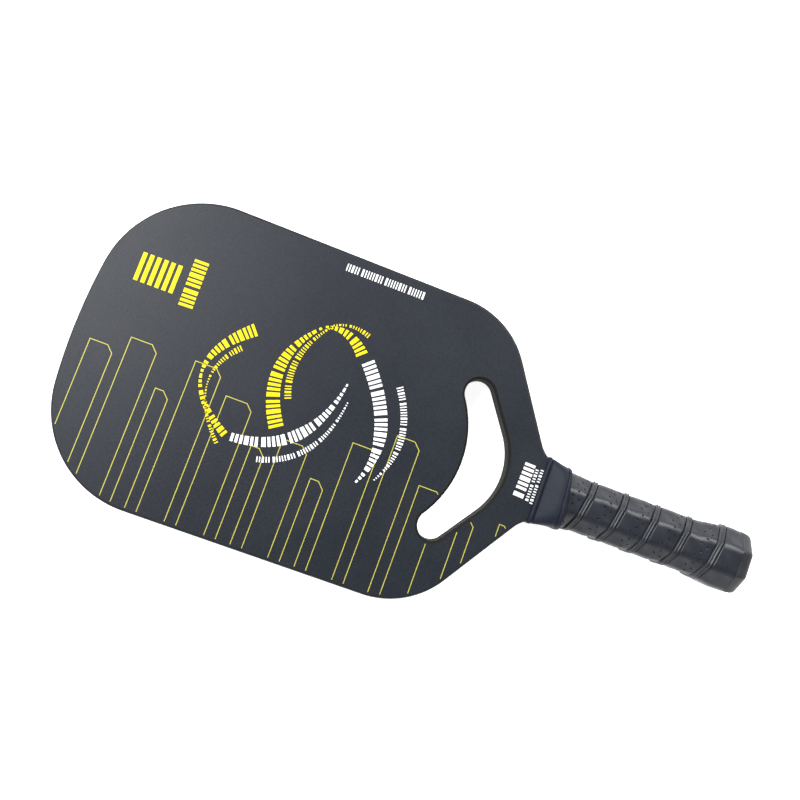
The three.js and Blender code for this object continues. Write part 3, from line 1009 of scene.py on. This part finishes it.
def ribbon_bars(start, middle, end, widths, bars):
    """Short bars across a curved ribbon that passes through three points."""
    start, middle, end = (np.array(point) for point in (start, middle, end))
    pull = 2 * middle - (start + end) / 2
    share = np.linspace(0, 1, RIBBON_STEPS + 1)
    path = np.outer((1 - share) ** 2, start) + np.outer(2 * share * (1 - share), pull)
    path += np.outer(share**2, end)
    walked = np.concatenate([[0.0], np.cumsum(np.linalg.norm(np.diff(path, axis=0), axis=1))])
    tangent = np.gradient(path, axis=0)
    tangent /= np.linalg.norm(tangent, axis=1)[:, None]
    width = np.interp(share, (0, 0.5, 1), widths)

    def across(distance, height):
        """The point this far along the ribbon, and this share of its width across it."""
        at = np.interp(distance, walked, share) * (len(share) - 1)
        low = min(int(at), len(share) - 2)
        rest = at - low
        point = path[low] * (1 - rest) + path[low + 1] * rest
        side = np.array((-tangent[low][1], tangent[low][0]))
        wide = width[low] * (1 - rest) + width[low + 1] * rest
        return point + side * wide * (height - 0.5)

    parts = []
    distance, order = 0.0, 0
    while True:
        length, gap = bars[order % len(bars)]
        if distance + length > walked[-1]:
            return parts
        corners = [
            across(distance, 0.0), across(distance + length, 0.0),
            across(distance + length, 1.0), across(distance, 1.0),
        ]
        parts.append(slab(np.array(corners), [], INK_UNDER, INK_TOP))
        distance += length + gap
        order += 1


def mark_bars():
    """Upright bars that fill the mark's place near the head's corner."""
    (low_x, low_y), (high_x, high_y) = MARK_LOW, MARK_HIGH
    step = (high_x - low_x) / (MARK_BARS - 1 + MARK_FILL)
    parts = []
    for order in range(MARK_BARS):
        left = low_x + order * step
        right = left + step * MARK_FILL
        corners = np.array([(left, low_y), (right, low_y), (right, high_y), (left, high_y)])
        parts.append(slab(corners, [], INK_UNDER, INK_TOP))
    return parts


def add_print(name, parts, ink):
    """One printed layer of thin raised ink."""
    points, faces = joined(parts)
    add_piece(name, points, faces, ink)


def add_prints():
    """All the printing on the front face."""
    lines = [line_slab(run) for bar in OUTLINED_BARS for run in printable_runs(bar_corners(*bar))]
    add_print("printed_lines", lines, pale_yellow_ink)
    yellow = [part for ribbon in YELLOW_RIBBONS for part in ribbon_bars(*ribbon)]
    add_print("printed_yellow_ribbons", yellow, yellow_ink)
    white = [part for ribbon in WHITE_RIBBONS for part in ribbon_bars(*ribbon)]
    add_print("printed_white_ribbons", white, white_ink)
    add_print("printed_mark", mark_bars() + ribbon_bars(*MARK_ROW), yellow_ink)


add_prints()


# ---------------------------------------------------------------- pieces inside


def finish_inside():
    """Better finishes for the CAD pieces that stay."""
    film = gritty(
        "cured_film", (0.40, 0.30, 0.11), (0.56, 0.44, 0.20), 500.0, 40.0, 0.6,
        (0.25, 0.4), (0.2, 0.0001),
    )
    honeycomb = gritty(
        "moulded_honeycomb", (0.62, 0.65, 0.62), (0.74, 0.76, 0.73), 700.0, 60.0, 0.5,
        (0.35, 0.5), (0.2, 0.0001),
    )
    foam = gritty(
        "closed_cell_foam", (0.16, 0.17, 0.15), (0.34, 0.35, 0.31), 1400.0, 70.0, 0.15,
        (0.8, 0.95), (0.8, 0.0004),
    )
    wire = drawn(
        "drawn_wire", (0.50, 0.51, 0.52), (0.66, 0.67, 0.68), (200.0, 200.0, 2500.0), 0.6,
        0.3, (0.2, 0.00005), metallic=1.0,
    )
    tape = drawn(
        "cloth_tape", (0.52, 0.48, 0.39), (0.68, 0.64, 0.54), (2200.0, 160.0, 160.0), 0.8,
        0.85, (0.5, 0.0001),
    )
    finishes = {
        "front_adhesive_film": film,
        "back_adhesive_film": film,
        "honeycomb_core": honeycomb,
        "handle_core": foam,
        "handle_shell_front": foam,
        "handle_shell_back": foam,
        "cap_staple_front": wire,
        "cap_staple_back": wire,
        "handle_tape": tape,
        "finishing_tape": cap_finish,
    }
    for node, finish in finishes.items():
        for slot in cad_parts[node].material_slots:
            slot.material = finish


finish_inside()


# ---------------------------------------------------------------- floor, light and camera

FLOOR_SIZE = 12.0
TIP_CONTACT = 2.0
FLARE_CONTACT = 405.0

# The room's brightness is 1 up to LOW_SKY, then falls to CEILING at HIGH_SKY and above.
CEILING = 0.24
LOW_SKY = 0.25
HIGH_SKY = 0.75

# The floor gives off a little light of its own, so that it stays pale under the dim ceiling.
FLOOR_GLOW = 0.85

# Softboxes: [name, place, size, watts]
SOFTBOXES = [
    ("softbox_tip", (-0.78, 0.24, 0.80), (0.7, 0.9), 18.0),
    ("softbox_side", (0.45, 0.85, 1.0), (0.9, 0.4), 14.0),
]


def add_floor():
    """A plain floor that the head's tip and the handle's flare both rest on."""
    tip = Vector(place((TIP_CONTACT, 0.0, -FACE)))
    flare = Vector(place((FLARE_CONTACT, 0.0, 0.0)))
    flare.z = cad_box[0][2]
    along = (flare - tip).normalized()
    across = Vector((0.0, 1.0, 0.0))
    half = FLOOR_SIZE / 2
    signs = ((-1, -1), (1, -1), (1, 1), (-1, 1))
    corners = [tip + along * half * a + across * half * b for a, b in signs]
    mesh = bpy.data.meshes.new("floor")
    mesh.from_pydata(corners, [], [(0, 1, 2, 3)])
    floor = bpy.data.objects.new("floor", mesh)
    bpy.context.scene.collection.objects.link(floor)
    finish = gritty(
        "pale_floor", (0.90, 0.90, 0.90), (0.93, 0.93, 0.93), 60.0, 2.0, 0.5,
        (0.7, 0.8), (0.05, 0.0001), specular=0.1,
    )
    shader = finish.node_tree.nodes["Principled BSDF"]
    shader.inputs["Emission Color"].default_value = (1.0, 1.0, 1.0, 1.0)
    shader.inputs["Emission Strength"].default_value = FLOOR_GLOW
    mesh.materials.append(finish)


def add_softbox(name, place_at, size, power):
    """A rectangular lamp that faces the middle of the paddle."""
    light = bpy.data.lights.new(name, "AREA")
    light.shape = "RECTANGLE"
    light.size, light.size_y = size
    light.energy = power
    lamp = bpy.data.objects.new(name, light)
    lamp.location = place_at
    lamp.rotation_euler = (AIM - Vector(place_at)).to_track_quat("-Z", "Y").to_euler()
    bpy.context.scene.collection.objects.link(lamp)


def add_light():
    """A white room, bright around the paddle and dimmer overhead, and two softboxes."""
    world = bpy.data.worlds.new("studio")
    world.use_nodes = True
    tree = world.node_tree
    towards = add_node(tree, "ShaderNodeTexCoord").outputs["Generated"]
    rise = add_node(tree, "ShaderNodeSeparateXYZ", {"Vector": towards}).outputs["Z"]
    brightness = add_node(
        tree, "ShaderNodeMapRange",
        {"Value": rise, "From Min": LOW_SKY, "From Max": HIGH_SKY, "To Min": 1.0, "To Max": CEILING},
    )
    tree.links.new(brightness.outputs["Result"], tree.nodes["Background"].inputs["Strength"])
    tree.nodes["Background"].inputs["Color"].default_value = (1.0, 1.0, 1.0, 1.0)
    bpy.context.scene.world = world
    for softbox in SOFTBOXES:
        add_softbox(*softbox)


def add_camera():
    """The camera, looking at AIM from above."""
    camera = bpy.data.objects.new("camera", bpy.data.cameras.new("camera"))
    camera.data.lens = LENS
    camera.location = AIM + TOWARDS_CAMERA.normalized() * CAMERA_DISTANCE
    turn = TOWARDS_CAMERA.to_track_quat("Z", "Y") @ Quaternion((0.0, 0.0, 1.0), CAMERA_ROLL)
    camera.rotation_euler = turn.to_euler()
    bpy.context.scene.collection.objects.link(camera)
    bpy.context.scene.camera = camera


add_floor()
add_light()
add_camera()
bpy.context.scene.view_settings.view_transform = "Standard"
